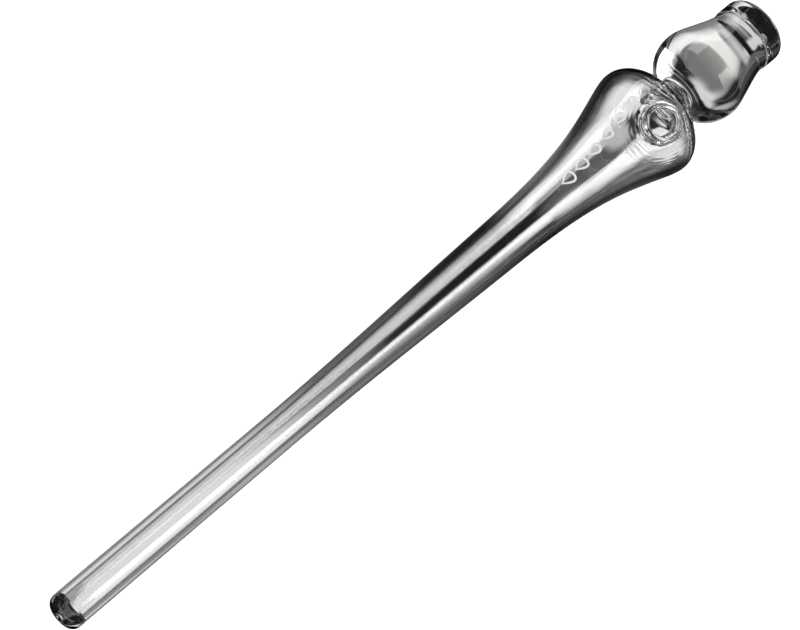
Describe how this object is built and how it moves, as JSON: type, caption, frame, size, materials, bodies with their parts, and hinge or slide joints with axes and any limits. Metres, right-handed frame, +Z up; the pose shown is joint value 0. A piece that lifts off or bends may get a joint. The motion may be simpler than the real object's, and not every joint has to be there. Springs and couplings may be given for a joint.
{
  "type": "whisky pipette",
  "caption": "Clear glass dropper pipette: slim tube flaring to a rounded shoulder with a finger hole, under a solid tulip-shaped finial.",
  "frame": {"origin": "on the flat surface that the pipette lies on, under the middle of its length", "axes": "+Z up, +X from the tip towards the finial, +Y across; the glass axis rises 3.19 degrees towards the finial, and the finger hole faces up"},
  "size_m": [0.1782, 0.023, 0.0238],
  "materials": {
    "clear_glass": "colourless lampworked glass, fire-polished and glossy all over"
  },
  "bodies": {
    "root": {"tip_nozzle": "clear_glass", "stem_tube": "clear_glass", "flared_body": "clear_glass", "shoulder_bulb": "clear_glass", "finger_hole_lip": "clear_glass", "finial_foot": "clear_glass", "finial_bowl": "clear_glass", "finial_band": "clear_glass"}
  },
  "joints": []
}
